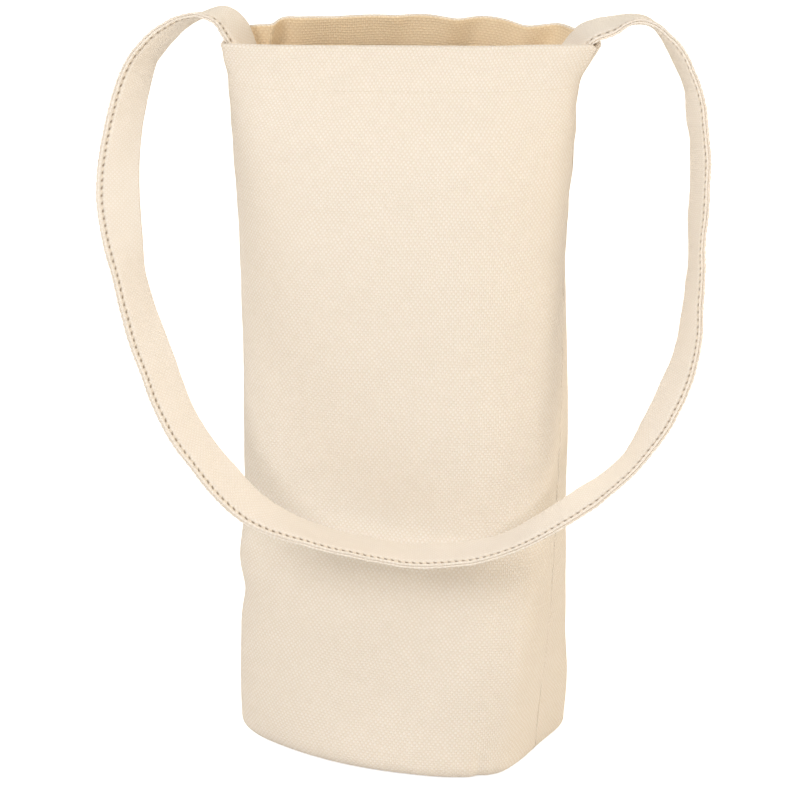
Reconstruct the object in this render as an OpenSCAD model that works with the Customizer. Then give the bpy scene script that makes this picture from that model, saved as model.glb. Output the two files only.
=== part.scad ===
// Canvas bottle bag with a folded shoulder strap, standing upright and empty.
// Millimetres, +Z up. The origin is the centre of the base's underside, the front faces -Y.
// Each cloth piece is one thin closed solid between two grids of points, its face side and its
// back side. Threads are rows of separate small stitches that lie on the cloth.

/* [Bag] */
// Height of the rim above the base
body_h = 319; // [316:1:324]
// Width of the open mouth between its side seams
mouth_w = 160; // [158:1:164]
// Depth of the open mouth from front to back
mouth_d = 38; // [36:1:39]
// Width of the standing bag half way up
waist_w = 138; // [136:1:140]
// Depth of the standing bag half way up
waist_d = 75; // [72:1:77]
// Long side of the boxed base
base_w = 131; // [126:1:132]
// Short side of the boxed base
base_d = 69; // [65:1:70]
// How far the base is turned against the mouth, in degrees
base_yaw = -25; // [-27:1:-20]
// How far the front swells out over the base
belly = 14; // [10:1:15]

/* [Cloth] */
// Thickness of the canvas
canvas_t = 1.2; // [1:0.1:1.2]
// Depth of the hem turned in round the mouth
hem_h = 20; // [16:1:22]
// Width of the cloth margins left inside each seam
allowance = 8; // [7:0.5:9]
// Radius of the soft fold round the base
fold_r = 7; // [6:0.5:8]

/* [Strap] */
// Width of the folded strap
strap_w = 20; // [18:0.5:20]
// Thickness of the folded strap
strap_t = 3; // [2.6:0.1:3]

/* [Stitches] */
// Distance of the edge stitching from the strap's open edge
edge_stitch_in = 2; // [1.5:0.1:2.5]
// Length from one stitch to the next
stitch_pitch = 3; // [2.8:0.1:3.4]
// Thickness of the sewing thread
thread_d = 0.7; // [0.5:0.1:0.8]

/* [Hidden] */

canvas_colour = [0.94, 0.88, 0.79];
thread_colour = [0.98, 0.94, 0.87];

// Middle of the two side seams at the base; its front swells out, so that the outline's own middle
// is the origin
base_x = 1;
base_y = 3;

// Sections of the body from the base up. Each has its height, centre, half width, front and back
// half depths, swell of the front, turn, and the two powers that square or round its corners.
STATIONS = [
    [0,      base_x, base_y, base_w / 2,        base_d / 2 - 1,     base_d / 2 + 1,     belly,     base_yaw,        8.5, 9],
    [12,     base_x, base_y, base_w / 2,        base_d / 2 - 1,     base_d / 2 + 1,     belly,     base_yaw,        8.5, 9],
    [60,     2.4,    -1.8,   waist_w / 2 - 0.4, waist_d / 2 - 5.5,  waist_d / 2 - 3.5,  belly - 7.5, base_yaw + 0.7, 7, 5.4],
    [110,    3,      0,      waist_w / 2 - 0.5, waist_d / 2 - 3,    waist_d / 2 - 3,    belly - 9, base_yaw + 7,    4,   4],
    [170,    3,      0,      waist_w / 2,       waist_d / 2,        waist_d / 2,        1,         base_yaw + 11.5, 3,   3],
    [230,    2.1,    0,      waist_w / 2 + 0.7, waist_d / 2 - 1,    waist_d / 2 - 1,    0,         base_yaw + 16,   2.6, 2.4],
    [280,    2.5,    0,      waist_w / 2 + 3.7, waist_d / 2 - 9,    waist_d / 2 - 1,    0,         -4,              3,   2.1],
    [302,    2.5,    -1,     waist_w / 2 + 5,   mouth_d / 2 - 5,    mouth_d - 7,        0,         -1.5,            4,   2],
    [body_h, 4.3,    -4.2,   mouth_w / 2,       5,                  mouth_d - 5,        0,         -0.5,            4.5, 2],
];
CX = 1;
CY = 2;
HALF_W = 3;
FRONT = 4;
BACK = 5;
SWELL = 6;
YAW = 7;
POWER_X = 8;
POWER_Y = 9;

COLS = 20;           // columns of points across one panel
FINE = 90;           // steps used to measure round half a section
HEM_ROWS = 4;        // rows of points down the hem
WALL_ROWS = 15;      // rows of points from the hem down to the base fold
FOLD_ROWS = 3;       // rows of points round the base fold
BASE_ROWS = 2;       // rows of points from the fold to the base seam
MITRE_LIMIT = 3;     // longest corner offset, in thicknesses
hem_gap = 0.3;       // air between the two layers of the hem
lift_off = 0.22;     // air between a stitch and the cloth under it
rim_r = canvas_t + hem_gap / 2;
hem_depth = 2 * canvas_t + hem_gap;
margin_top = 268;    // the side seams' margins end under the strap's ends
base_seam_part = 0.9;  // share of the flat base that its middle seam crosses

FRONT_SIDE = 0;
BACK_SIDE = 1;

// Tops of the strap's two arches, where the loop swings about a line along X
left_crest_x = -80;
right_crest_x = 101;
crest_gap = 0.4;
RINGS = 84;          // cross sections along the strap's loop
END_RINGS = 12;      // cross sections along each of its sewn ends

// The strap's route: a point of its middle line and its turn about that line, 90 where its width
// points to the front. The ends start inside the bag.
LEFT_END_ROUTE = [
    [-61, 8, 276, 57], [-60.5, 7.6, 290, 60], [-60.3, 7.4, 303, 63], [-62.8, 7.4, 313, 66],
    [-67, 8, 321, 67], [-73, 10.5, 326, 76], [left_crest_x, 11, 328, 91], [-87, 9, 326, 107],
];
LOOP_ROUTE = [
    [-73, 10.5, 326, 76], [left_crest_x, 11, 328, 91], [-94, 5, 322, 122], [-104, -1, 313, 136],
    [-112, -8, 295, 142], [-117, -17, 267, 149], [-115, -25, 243, 147], [-109, -33, 215, 136],
    [-100, -41, 188, 137], [-88, -49, 162, 131], [-72, -56, 141, 124], [-50, -59, 124, 110],
    [-23, -61, 115, 100], [6, -61, 110, 99], [30, -61, 111, 99], [54, -60, 119, 100],
    [78, -55, 134, 106], [98, -48, 147, 106], [111, -40, 165, 117], [120, -34, 185, 119],
    [124, -28, 211, 113], [126, -21, 237, 112], [127, -14, 261, 113], [126, -8, 281, 116],
    [122, -2, 299, 117], [116, 3, 313, 117], [109, 7, 322, 108], [right_crest_x, 9, 326, 99],
    [93, 9, 326, 94],
];
RIGHT_END_ROUTE = [
    [109, 7, 322, 108], [right_crest_x, 9, 326, 99], [93, 8, 326, 92], [84.5, 7, 324.5, 82],
    [74.4, 6, 320.5, 69], [69.3, 5.6, 310, 67], [65.2, 5.6, 294, 66], [64.5, 6, 276, 66],
];

// Half the strap's cross section runs along its width, half through its thickness
half_sw = strap_w / 2;
half_st = strap_t / 2;
soft = 0.8;          // softening of the strap's long edges
PROFILE = [
    [half_sw, -half_st + soft], [half_sw, half_st - soft], [half_sw - soft, half_st],
    [-half_sw + soft, half_st], [-half_sw, half_st - soft], [-half_sw, -half_st + soft],
    [-half_sw + soft, -half_st], [half_sw - soft, -half_st],
];

// A smooth curve through one column of a table, read at key x in the table's first column
function slope(t, c, k) =
    let(a = max(k - 1, 0), b = min(k + 1, len(t) - 1)) (t[b][c] - t[a][c]) / (t[b][0] - t[a][0]);
function span(t, x, k = 0) = k >= len(t) - 2 || x < t[k + 1][0] ? k : span(t, x, k + 1);
function curve(t, c, x) =
    let(k = span(t, x), h = t[k + 1][0] - t[k][0], s = (x - t[k][0]) / h)
    (1 + 2 * s) * (1 - s) ^ 2 * t[k][c] + s * (1 - s) ^ 2 * h * slope(t, c, k)
    + s * s * (3 - 2 * s) * t[k + 1][c] - s * s * (1 - s) * h * slope(t, c, k + 1);

function power(v, n) = sign(v) * abs(v) ^ n;
function turned(p, a) = [p.x * cos(a) - p.y * sin(a), p.x * sin(a) + p.y * cos(a)];
function unit(v) = v / norm(v);
function mix(a, b, f) = a + (b - a) * f;

// Distances along a line of points, starting from nothing
function distances(line) =
    [for (i = 0, s = 0; i < len(line); i = i + 1, s = i < len(line) ? s + norm(line[i] - line[i - 1]) : s) s];
function along(line, far, c, s) = lookup(s, [for (i = [0:len(line) - 1]) [far[i], line[i][c]]]);
function flat_at(line, far, s) = [along(line, far, 0, s), along(line, far, 1, s)];
function point_at(line, far, s) = [along(line, far, 0, s), along(line, far, 1, s), along(line, far, 2, s)];

// Evenly spaced points round the front or the back half of the section at height z
function half_section(z, side) =
    let(
        v = [for (c = [0:POWER_Y]) c == 0 ? z : curve(STATIONS, c, z)],
        dense = [for (i = [0:FINE])
            let(
                t = 180 + 180 * side + 180 * i / FINE,
                x = v[HALF_W] * power(cos(t), 2 / v[POWER_X]),
                depth = side == FRONT_SIDE ? v[FRONT] : v[BACK],
                swell = side == FRONT_SIDE ? v[SWELL] * (1 - (x / v[HALF_W]) ^ 2) : 0
            )
            turned([x, depth * power(sin(t), 2 / v[POWER_Y]) - swell], v[YAW]) + [v[CX], v[CY]]],
        far = distances(dense)
    )
    [for (i = [0:COLS]) flat_at(dense, far, far[FINE] * i / COLS)];

// The whole closed section: left seam, front, right seam, back
function section(z) =
    let(front = half_section(z, FRONT_SIDE), back = half_section(z, BACK_SIDE))
    concat(front, [for (i = [1:COLS - 1]) back[i]]);

// A closed ring moved inwards by d, with mitred corners
function inset(ring, d) =
    let(n = len(ring))
    [for (i = [0:n - 1])
        let(
            a = unit(ring[i] - ring[(i + n - 1) % n]),
            b = unit(ring[(i + 1) % n] - ring[i]),
            m = unit([-a.y - b.y, a.x + b.x]),
            k = min(MITRE_LIMIT, 1 / max(0.01, m * [-a.y, a.x]))
        )
        ring[i] + m * d * k];

function side_of(ring, side) = [for (i = [0:COLS]) ring[(i + side * COLS) % (2 * COLS)]];
function raised(points, z) = [for (p = points) [p.x, p.y, z]];
function wall_row(side, z, d) = raised(side_of(inset(section(z), d), side), z);

// At a seam point: the way into the bag, and the way along the margin's thickness, on one side
function seam_frame(ring, k, side) =
    let(
        inward = unit(inset(ring, 1)[k] - ring[k]),
        n = len(ring),
        step = (k == 0) == (side == FRONT_SIDE) ? 1 : n - 1,
        u = unit(ring[(k + step) % n] - ring[k]),
        square = [-inward.y, inward.x],
        across = square * u > 0 ? square : -square,
        root = canvas_t * (1 + u * inward) / (u * across)
    )
    [inward, across, root];

// Points of one row of a panel with a margin at each end, on the face side or the back side
function margin_row(side, z, back) =
    let(
        ring = section(z),
        body = side_of(inset(ring, back ? canvas_t : 0), side),
        k0 = side == FRONT_SIDE ? 0 : COLS,
        k1 = COLS - k0,
        f0 = seam_frame(ring, k0, side),
        f1 = seam_frame(ring, k1, side),
        t = back ? canvas_t : 0
    )
    raised(concat(
        [ring[k0] + f0[0] * allowance + f0[1] * t],
        [back ? ring[k0] + f0[0] * f0[2] + f0[1] * t : ring[k0]],
        [for (i = [1:COLS - 1]) body[i]],
        [back ? ring[k1] + f1[0] * f1[2] + f1[1] * t : ring[k1]],
        [ring[k1] + f1[0] * allowance + f1[1] * t]
    ), z);

// The same number of points in a row without margins: its end points are doubled and not used
function plain_row(row) = concat([row[0]], row, [row[len(row) - 1]]);

hem_stitch_z = body_h - hem_h + 2;
HEM_Z = concat([body_h - hem_h],
    [for (i = [0:HEM_ROWS - 1]) mix(hem_stitch_z, body_h - rim_r, i / (HEM_ROWS - 1))]);
WALL_Z = [for (i = [1:WALL_ROWS]) mix(body_h - hem_h, fold_r, i / WALL_ROWS)];
RIM_TURNS = [45, 90, 135];

// Middle seam of the base: the point for column i
function base_seam_point(i) =
    turned([(2 * i / COLS - 1) * (base_w / 2 - fold_r) * base_seam_part, 0], base_yaw) + [base_x, base_y];
function base_columns(side) = side == FRONT_SIDE ? [0:COLS] : [COLS:-1:0];

// One panel's grid on its face side or its back side: up the hem, over the rim, down the wall,
// round the base fold, across half the base and up the margin of the base seam
function panel_grid(side, back) =
    let(
        t = back ? canvas_t : 0,
        edge = section(fold_r),
        rim = side_of(inset(edge, fold_r), side),
        own = turned([0, side == FRONT_SIDE ? -t : t], base_yaw),
        seam = [for (i = base_columns(side)) base_seam_point(i)]
    )
    concat(
        [for (z = HEM_Z) plain_row(wall_row(side, z, hem_depth - t))],
        [for (a = RIM_TURNS) let(r = back ? hem_gap / 2 : rim_r)
            plain_row(raised(
                side_of(inset(section(body_h - rim_r), rim_r + r * cos(a)), side),
                body_h - rim_r + r * sin(a)))],
        [for (i = [HEM_ROWS:-1:0]) plain_row(wall_row(side, HEM_Z[i], t))],
        [for (z = WALL_Z) z < margin_top ? margin_row(side, z, back) : plain_row(wall_row(side, z, t))],
        [for (i = [1:FOLD_ROWS]) let(a = 90 * i / FOLD_ROWS, r = fold_r - t)
            plain_row(raised(side_of(inset(edge, t + r * (1 - cos(a))), side), fold_r - r * sin(a)))],
        [for (i = [1:BASE_ROWS])
            plain_row([for (c = [0:COLS]) let(p = mix(rim[c], seam[c] + own, i / BASE_ROWS)) [p.x, p.y, t]])],
        [plain_row([for (p = seam) [p.x + own.x, p.y + own.y, allowance]])]
    );

// Which cells of the grid are cloth: all but the margins where a row has none
first_margin = 2 * (HEM_ROWS + 1) + len(RIM_TURNS) + len([for (z = WALL_Z) if (z >= margin_top) z]);
last_margin = 2 * (HEM_ROWS + 1) + len(RIM_TURNS) + WALL_ROWS - 1;
function is_cloth(r, c, rows, cols) =
    r >= 0 && r < rows - 1 && c >= 0 && c < cols - 1
    && (c > 0 && c < cols - 2 || r >= first_margin && r < last_margin);

// A cell's corners, begun one corner later where its other diagonal has to be the fold: in the hem,
// so that its two layers bend alike, at the margins and at both ends of the base seam
function cell(q, other) = other ? [q[1], q[2], q[3], q[0]] : q;

// The closed solid between the two grids
module cloth(face, back) {
    rows = len(face);
    cols = len(face[0]);
    half = rows * cols;
    quads = [for (r = [0:rows - 2], c = [0:cols - 2]) if (is_cloth(r, c, rows, cols))
        let(i = r * cols + c, j = i + cols, hem = r < HEM_ROWS, base = r > last_margin)
        each concat(
            [cell([i, i + 1, j + 1, j], hem || c == 0 || base && c == 1),
             cell([half + j, half + j + 1, half + i + 1, half + i], hem || base && c == cols - 3)],
            is_cloth(r, c - 1, rows, cols) ? [] : [[i, j, half + j, half + i]],
            is_cloth(r, c + 1, rows, cols) ? [] : [[i + 1, half + i + 1, half + j + 1, j + 1]],
            is_cloth(r - 1, c, rows, cols) ? [] : [[i, half + i, half + i + 1, i + 1]],
            is_cloth(r + 1, c, rows, cols) ? [] : [[j + 1, half + j + 1, half + j, j]]
        )];
    polyhedron(
        points = [for (row = concat(face, back)) each row],
        faces = [for (q = quads) each [[q[0], q[1], q[2]], [q[0], q[2], q[3]]]]
    );
}

module panel(side) {
    cloth(panel_grid(side, false), panel_grid(side, true));
}

// A row of stitches along a line of points, each with the cloth's outward direction there.
// Each stitch is a small grain that is thickest in its middle. Crosswise stitches lie square
// to the line.
module stitches(line, outward, length = stitch_pitch * 0.85, crosswise = false) {
    far = distances(line);
    total = far[len(far) - 1];
    count = floor(total / stitch_pitch);
    grains = [for (k = [0:count - 1])
        let(
            s = (k + 0.5) * total / count,
            p = point_at(line, far, s),
            n = unit(point_at(outward, far, s)),
            run = unit(point_at(line, far, s + 0.5) - point_at(line, far, s - 0.5)),
            d = crosswise ? cross(n, run) : run,
            e = cross(d, n),
            low = p + n * lift_off
        )
        [low + n * thread_d * 0.3 - d * length / 2, low + n * thread_d * 0.3 + e * thread_d / 2,
         low + n * thread_d * 0.3 + d * length / 2, low + n * thread_d * 0.3 - e * thread_d / 2,
         low, low + n * thread_d]];
    polyhedron(
        points = [for (g = grains) each g],
        faces = [for (k = [0:count - 1], q = [0:3]) let(a = 6 * k + q, b = 6 * k + (q + 1) % 4)
            each [[a, b, 6 * k + 5], [b, a, 6 * k + 4]]]
    );
}

// The strap's middle line as a table keyed by distance, and its frame at one distance:
// the middle point, the way along, the way across its width, and its face direction
function keyed(route) =
    let(far = distances([for (r = route) [r[0], r[1], r[2]]]))
    [for (i = [0:len(route) - 1]) concat([far[i]], route[i])];
function route_point(t, s) = [curve(t, 1, s), curve(t, 2, s), curve(t, 3, s)];
function strap_frame(t, s) =
    let(
        run = unit(route_point(t, s + 0.5) - route_point(t, s - 0.5)),
        ahead = unit([0, -1, 0] + run * run.y),
        wide = cross(ahead, run) * cos(curve(t, 4, s)) + ahead * sin(curve(t, 4, s))
    )
    [route_point(t, s), run, wide, cross(run, wide)];

// Frames from one key of a route to another
function strap_frames(route, first, last, n) =
    let(t = keyed(route))
    [for (i = [0:n]) strap_frame(t, mix(t[first][0], t[last][0], i / n))];

LEFT_END = strap_frames(LEFT_END_ROUTE, 0, 6, END_RINGS);
LOOP = strap_frames(LOOP_ROUTE, 1, 27, RINGS);
RIGHT_END = strap_frames(RIGHT_END_ROUTE, 1, 7, END_RINGS);

function strap_point(f, across, out) = f[0] + f[2] * across + f[3] * out;

// A ring of the strap, moved along the strap on to the plane x = cut where one is given
function strap_ring(f, cut) = [for (q = PROFILE)
    let(p = strap_point(f, q.x, q.y)) is_undef(cut) ? p : p + f[1] * (cut - p.x) / f[1].x];

module ribbon(frames, cut_first, cut_last) {
    m = len(PROFILE);
    last = len(frames) - 1;
    rings = [for (i = [0:last]) strap_ring(frames[i], i == 0 ? cut_first : i == last ? cut_last : undef)];
    polyhedron(
        points = [for (ring = rings) each ring],
        faces = concat(
            [[for (q = [0:m - 1]) q], [for (q = [m - 1:-1:0]) last * m + q]],
            [for (i = [0:last - 1], q = [0:m - 1])
                let(a = i * m + q, b = i * m + (q + 1) % m)
                each [[a, a + m, b + m], [a, b + m, b]]]
        )
    );
}

// Both faces of one length of strap stitched along its open edge
module edge_stitches(frames) {
    for (face = [-1, 1]) {
        stitches(
            [for (f = frames) strap_point(f, half_sw - edge_stitch_in, face * half_st)],
            [for (f = frames) f[3] * face]
        );
    }
}

// A box of stitches near the sewn end of the strap, on the face towards the inside of the bag
module tack(sewn, upwards, face) {
    corners = [for (q = [[-tack_w, 3], [tack_w, 3], [tack_w, 15], [-tack_w, 15], [-tack_w, 3]])
        strap_point(sewn, q.x, face * half_st) + sewn[1] * upwards * q.y];
    stitches(corners, [for (c = corners) sewn[3] * face]);
}

// Both rows of stitches at the root of a side seam's margins, and the overlock at their free edge
module side_seam_row(k, side, from_wall, crosswise, length) {
    frames = [for (z = WALL_Z) if (z < margin_top) let(ring = section(z)) [z, ring[k], seam_frame(ring, k, side)]];
    line = [for (f = frames) let(p = f[1] + f[2][0] * from_wall + f[2][1] * canvas_t) [p.x, p.y, f[0]]];
    stitches(line, [for (f = frames) [f[2][1].x, f[2][1].y, 0]], length, crosswise);
}

module side_seam(k, from_wall, crosswise = false, length = stitch_pitch * 0.85) {
    for (side = [FRONT_SIDE, BACK_SIDE]) {
        side_seam_row(k, side, from_wall, crosswise, length);
    }
}

module base_seam(height, crosswise = false, length = stitch_pitch * 0.85) {
    for (way = [-1, 1]) {
        off = turned([0, way * canvas_t], base_yaw);
        ends = [for (i = [1, COLS - 1]) let(p = base_seam_point(i) + off) [p.x, p.y, height]];
        out = [off.x, off.y, 0];
        stitches(ends, [out, out], length, crosswise);
    }
}

// The seam across a boxed corner, seen inside along the short side of the base
module corner_seam(way) {
    x = way * (base_w / 2 - fold_r - 1);
    y = base_d / 2 - fold_r - 4;
    for (half = [-1, 1]) {
        ends = [for (q = [[x, half * 3], [x, half * y]])
            let(p = turned(q, base_yaw) + [base_x, base_y]) [p.x, p.y, canvas_t]];
        stitches(ends, [[0, 0, 1], [0, 0, 1]]);
    }
}

module hem_row(side, z, d, first, last) {
    ring = section(z);
    points = raised(side_of(inset(ring, d), side), z);
    outer = raised(side_of(inset(ring, d - 1), side), z);
    way = d > 0 ? -1 : 1;
    stitches(
        [for (i = [first:last]) points[i]],
        [for (i = [first:last]) (outer[i] - points[i]) * way]
    );
}

module front_panel() { color(canvas_colour) panel(FRONT_SIDE); }
module back_panel() { color(canvas_colour) panel(BACK_SIDE); }
module strap() {
    color(canvas_colour) ribbon(LOOP, left_crest_x - crest_gap / 2, right_crest_x + crest_gap / 2);
}
module strap_left_end() { color(canvas_colour) ribbon(LEFT_END, undef, left_crest_x + crest_gap / 2); }
module strap_right_end() { color(canvas_colour) ribbon(RIGHT_END, right_crest_x - crest_gap / 2, undef); }

tack_w = half_sw - 5;           // half the width of the box of stitches that tacks an end
overlock_in = allowance - 2.2;  // middle of the overlock stitches, from the seam
overlock_w = 4;                 // reach of one overlock stitch over the margin

module left_side_seam_thread() { color(thread_colour) side_seam(0, canvas_t + 1.3); }
module right_side_seam_thread() { color(thread_colour) side_seam(COLS, canvas_t + 1.3); }
module base_seam_thread() { color(thread_colour) base_seam(canvas_t + 1.3); }
module left_corner_seam_thread() { color(thread_colour) corner_seam(-1); }
module right_corner_seam_thread() { color(thread_colour) corner_seam(1); }
module left_overlock_thread() { color(thread_colour) side_seam(0, overlock_in, true, overlock_w); }
module right_overlock_thread() { color(thread_colour) side_seam(COLS, overlock_in, true, overlock_w); }
module base_overlock_thread() { color(thread_colour) base_seam(overlock_in, true, overlock_w); }
module hem_stitching() {
    color(thread_colour) for (side = [FRONT_SIDE, BACK_SIDE]) {
        hem_row(side, hem_stitch_z, 0, 0, COLS);
        hem_row(side, hem_stitch_z, hem_depth, 5, COLS - 5);
    }
}
module strap_stitching() { color(thread_colour) edge_stitches([for (i = [1:RINGS - 1]) LOOP[i]]); }
module left_end_stitching() { color(thread_colour) edge_stitches([for (i = [1:END_RINGS - 1]) LEFT_END[i]]); }
module right_end_stitching() { color(thread_colour) edge_stitches([for (i = [1:END_RINGS - 1]) RIGHT_END[i]]); }
module left_tack_stitching() { color(thread_colour) tack(LEFT_END[0], 1, 1); }
module right_tack_stitching() { color(thread_colour) tack(RIGHT_END[END_RINGS], -1, 1); }

front_panel();
back_panel();
strap();
strap_left_end();
strap_right_end();
left_side_seam_thread();
right_side_seam_thread();
base_seam_thread();
left_corner_seam_thread();
right_corner_seam_thread();
left_overlock_thread();
right_overlock_thread();
base_overlock_thread();
hem_stitching();
strap_stitching();
left_end_stitching();
right_end_stitching();
left_tack_stitching();
right_tack_stitching();
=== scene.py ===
import math

import bpy
import numpy as np
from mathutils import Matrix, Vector


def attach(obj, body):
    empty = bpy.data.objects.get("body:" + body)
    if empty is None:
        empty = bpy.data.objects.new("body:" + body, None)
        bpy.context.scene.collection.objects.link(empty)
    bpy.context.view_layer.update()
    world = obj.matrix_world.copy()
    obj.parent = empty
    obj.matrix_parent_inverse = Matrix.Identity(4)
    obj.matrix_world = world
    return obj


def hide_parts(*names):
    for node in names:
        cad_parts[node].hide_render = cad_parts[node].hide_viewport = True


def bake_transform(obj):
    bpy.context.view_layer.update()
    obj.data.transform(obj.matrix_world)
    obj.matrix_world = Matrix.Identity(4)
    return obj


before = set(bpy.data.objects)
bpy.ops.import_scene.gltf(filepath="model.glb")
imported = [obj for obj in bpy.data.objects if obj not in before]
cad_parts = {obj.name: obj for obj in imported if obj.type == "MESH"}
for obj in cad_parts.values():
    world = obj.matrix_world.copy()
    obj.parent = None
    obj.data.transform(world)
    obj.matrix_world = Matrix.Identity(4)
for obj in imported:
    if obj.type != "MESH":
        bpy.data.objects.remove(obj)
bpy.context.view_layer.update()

# Lengths in the making functions are millimetres in the row frame, as in the part's source.
MM = 0.001
BODY_H, HEM_H, ALLOWANCE, FOLD_R, CANVAS_T = 319.0, 20.0, 8.0, 7.0, 1.2
BASE_W, BASE_YAW, BASE_SEAM_PART = 131.0, -25.0, 0.9
BASE_MIDDLE = np.array([1.0, 3.0])
HEM_GAP = 0.3
RIM_R = CANVAS_T + HEM_GAP / 2
HEM_DEPTH = 2 * CANVAS_T + HEM_GAP
HEM_STITCH_Z = BODY_H - HEM_H + 2
MARGIN_TOP = 268.0
PANEL_W = 190.0
STRAP_W, STRAP_T, STITCH_IN, PITCH = 20.0, 3.0, 2.0, 3.0
EDGE_STITCH_LINE = STRAP_W / 2 - STITCH_IN
# How far inside the wall the seam threads run, and the two edges of the overlock on the margins
SEAM_IN = CANVAS_T + 1.3
OVERLOCK = (4.0, 7.7)

# z, centre x and y, half width, front and back depth, swell of the front, turn, two corner powers
STATIONS = np.array([
    [0, 1, 3, 65.5, 33.5, 35.5, 14, -25, 8.5, 9],
    [12, 1, 3, 65.5, 33.5, 35.5, 14, -25, 8.5, 9],
    [60, 2.4, -1.8, 68.6, 32, 34, 6.5, -24.3, 7, 5.4],
    [110, 3, 0, 68.5, 34.5, 34.5, 5, -18, 4, 4],
    [170, 3, 0, 69, 37.5, 37.5, 1, -13.5, 3, 3],
    [230, 2.1, 0, 69.7, 36.5, 36.5, 0, -9, 2.6, 2.4],
    [280, 2.5, 0, 72.7, 28.5, 36.5, 0, -4, 3, 2.1],
    [302, 2.5, -1, 74, 14, 31, 0, -1.5, 4, 2],
    [319, 4.9, -4.2, 79.2, 5, 33, 0, -0.5, 4.5, 2],
], float)
FRONT, BACK = 0, 1

# The strap's middle line from its left sewn end to its right one, and its turn about that line
ROUTE = np.array([
    [-61, 7, 276, 58], [-60.5, 7.6, 288.6, 62], [-60.8, 7.6, 301, 66], [-63.4, 7.3, 310.9, 71],
    [-67, 6.8, 319.1, 65.5], [-71.3, 7.8, 325.1, 72.6], [-76.7, 8.1, 327.6, 92],
    [-83.2, 8.5, 327, 109.2], [-90, 7.6, 324.5, 116.7], [-95.1, 5, 321, 122.1],
    [-100.2, 2, 317.5, 127.8], [-105.5, -1, 312.1, 128.9], [-109.4, -4.5, 304.5, 133.6],
    [-112.5, -8, 294.3, 137.2], [-115.3, -12.5, 280.4, 141.5], [-116.9, -17, 267.1, 148.8],
    [-117, -21, 255.3, 151.4], [-115.6, -25, 242.8, 143.3], [-113.5, -29.5, 229.3, 128.4],
    [-110.2, -34, 216.1, 125.2], [-105.3, -38, 200.4, 131.5], [-100.9, -41, 188.9, 130],
    [-96.1, -45, 175.8, 130], [-89.6, -49, 162.9, 124], [-81.9, -53, 152.9, 121.3],
    [-72.4, -56, 141.7, 122.1], [-62.1, -58, 131.2, 116.1], [-51.2, -59, 124.8, 105],
    [-39.4, -60, 120.5, 97.5], [-23.4, -61, 115.6, 93.1], [-7.2, -61, 112.1, 93.1], [4.7, -61, 110.1, 93.4],
    [17, -61, 110.3, 95.9], [29.2, -61, 111.1, 94.2], [41.2, -61, 113.9, 91.3], [52.8, -60, 118.4, 93],
    [66.8, -58, 126, 97.8], [78.6, -55, 133.3, 99.4], [89.4, -51, 139.8, 94.7], [98.1, -48, 146.6, 95.7],
    [105.3, -44, 155.8, 104.5], [111.2, -40, 165.3, 113.2], [116.6, -37, 176.3, 114.7],
    [120.8, -34, 186.6, 113.4], [123.5, -31, 198.6, 109.7], [124.8, -28, 213.3, 105.5],
    [125.9, -23.5, 227.3, 103.4], [125.9, -21, 239.9, 104.8], [127.1, -17.5, 254.6, 105.3],
    [127.3, -14, 265.2, 106.4], [127, -11, 275.5, 108.5], [125.8, -8, 285.6, 110.3],
    [124.8, -5, 295.8, 108], [122.3, -2, 303.4, 109.6], [118.9, 0.5, 309.8, 110], [115.5, 3, 315.4, 108.7],
    [111.5, 4.5, 320.2, 103.8], [107.9, 6, 323.7, 102.8], [101.2, 7, 325.9, 102],
    [95.3, 6.8, 325.1, 96.5], [90.1, 5.9, 323.1, 88], [84.3, 5, 321.7, 84], [78.2, 5.2, 318.7, 77],
    [73.8, 5.2, 311.5, 71], [68.4, 5.4, 303.4, 67], [64.6, 5.8, 291.8, 66], [64, 6, 276, 66],
])


# ---- Small helpers ----
def smooth(x, low, high):
    t = np.clip((x - low) / (high - low), 0, 1)
    return t * t * (3 - 2 * t)


def hill(x, centre, width):
    return np.exp(-((x - centre) / width) ** 2)


def waves(a, b, seed, length):
    """A soft, repeatable unevenness of about -1 to 1 over two coordinates in mm."""
    rng = np.random.default_rng(seed)
    count = 7
    total = np.zeros(np.broadcast(a, b).shape)
    for _ in range(count):
        angle, phase = rng.uniform(0, math.tau, 2)
        k = math.tau / (length * rng.uniform(0.6, 1.8))
        total = total + np.sin(k * (a * math.cos(angle) + b * math.sin(angle)) + phase)
    return total / count ** 0.5 / 1.4


def curve_through(table, x):
    """Every column of a table, read at x in its first column, on one smooth curve."""
    key = table[:, 0]
    n = np.arange(len(key))
    low, high = np.maximum(n - 1, 0), np.minimum(n + 1, len(key) - 1)
    slope = (table[high] - table[low]) / (key[high] - key[low])[:, None]
    k = np.clip(np.searchsorted(key, x, side="right") - 1, 0, len(key) - 2)
    h = (key[k + 1] - key[k])[:, None]
    s = (np.asarray(x, float) - key[k])[:, None] / h
    return ((1 + 2 * s) * (1 - s) ** 2 * table[k] + s * (1 - s) ** 2 * h * slope[k]
            + s * s * (3 - 2 * s) * table[k + 1] - s * s * (1 - s) * h * slope[k + 1])


def unit(v):
    return v / np.maximum(np.linalg.norm(v, axis=-1, keepdims=True), 1e-12)


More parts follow.
